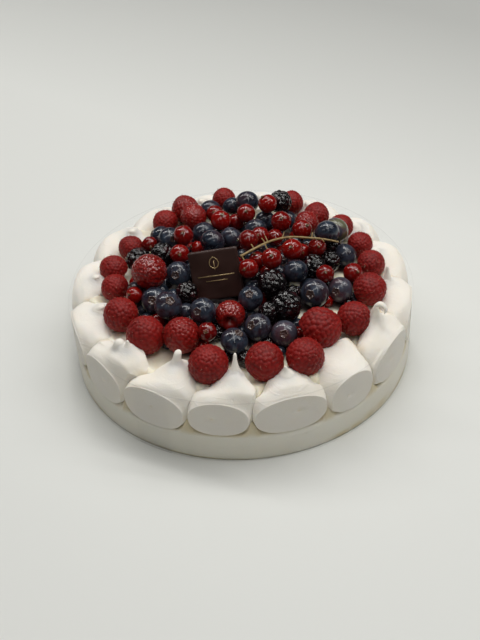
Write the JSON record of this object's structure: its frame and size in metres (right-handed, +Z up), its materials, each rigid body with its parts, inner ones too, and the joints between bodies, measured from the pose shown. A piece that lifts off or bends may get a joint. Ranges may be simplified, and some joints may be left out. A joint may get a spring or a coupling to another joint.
{
  "type": "pavlova",
  "caption": "Round meringue cake with a crown of piped meringue kisses, cream, a heap of mixed red and dark berries, a currant sprig, a small chocolate plaque and a clear film collar",
  "frame": {"origin": "centre of the cake's underside, where it stands", "axes": "+Z up along the cake's axis; -Y towards the side the chocolate plaque faces; +X to the right seen from that side"},
  "size_m": [0.1994, 0.1996, 0.072],
  "materials": {
    "meringue": "matte baked meringue",
    "cream": "soft satin cream",
    "clear_film": "clear glossy plastic film",
    "chocolate": "satin dark chocolate",
    "raspberry": "velvety red drupelets",
    "blueberry": "dark blue skin with bloom",
    "bramble": "glossy black drupelets",
    "currant": "glossy translucent red skin"
  },
  "bodies": {
    "root": {"meringue_base": "meringue", "meringue_crown": "meringue", "cream": "cream", "film_collar": "clear_film", "plaque": "chocolate", "currant_sprig": "currant", "raspberry_01": "raspberry", "raspberry_02": "raspberry", "raspberry_03": "raspberry", "raspberry_04": "raspberry", "raspberry_05": "raspberry", "raspberry_06": "raspberry", "raspberry_07": "raspberry", "raspberry_08": "raspberry", "raspberry_09": "raspberry", "raspberry_10": "raspberry", "raspberry_11": "raspberry", "raspberry_12": "raspberry", "raspberry_13": "raspberry", "raspberry_14": "raspberry", "raspberry_15": "raspberry", "raspberry_16": "raspberry", "raspberry_17": "raspberry", "raspberry_18": "raspberry", "raspberry_19": "raspberry", "raspberry_20": "raspberry", "raspberry_21": "raspberry", "raspberry_22": "raspberry", "raspberry_23": "raspberry", "raspberry_24": "raspberry", "blueberry_01": "blueberry", "blueberry_02": "blueberry", "blueberry_03": "blueberry", "blueberry_04": "blueberry", "blueberry_05": "blueberry", "blueberry_06": "blueberry", "blueberry_07": "blueberry", "blueberry_08": "blueberry", "blueberry_09": "blueberry", "blueberry_10": "blueberry", "blueberry_11": "blueberry", "blueberry_12": "blueberry", "blueberry_13": "blueberry", "blueberry_14": "blueberry", "blueberry_15": "blueberry", "blueberry_16": "blueberry", "blueberry_17": "blueberry", "blueberry_18": "blueberry", "blueberry_19": "blueberry", "blueberry_20": "blueberry", "blueberry_21": "blueberry", "blueberry_22": "blueberry", "bramble_01": "bramble", "bramble_02": "bramble", "bramble_03": "bramble", "bramble_04": "bramble", "bramble_05": "bramble", "bramble_06": "bramble", "bramble_07": "bramble", "bramble_08": "bramble"}
  },
  "joints": []
}
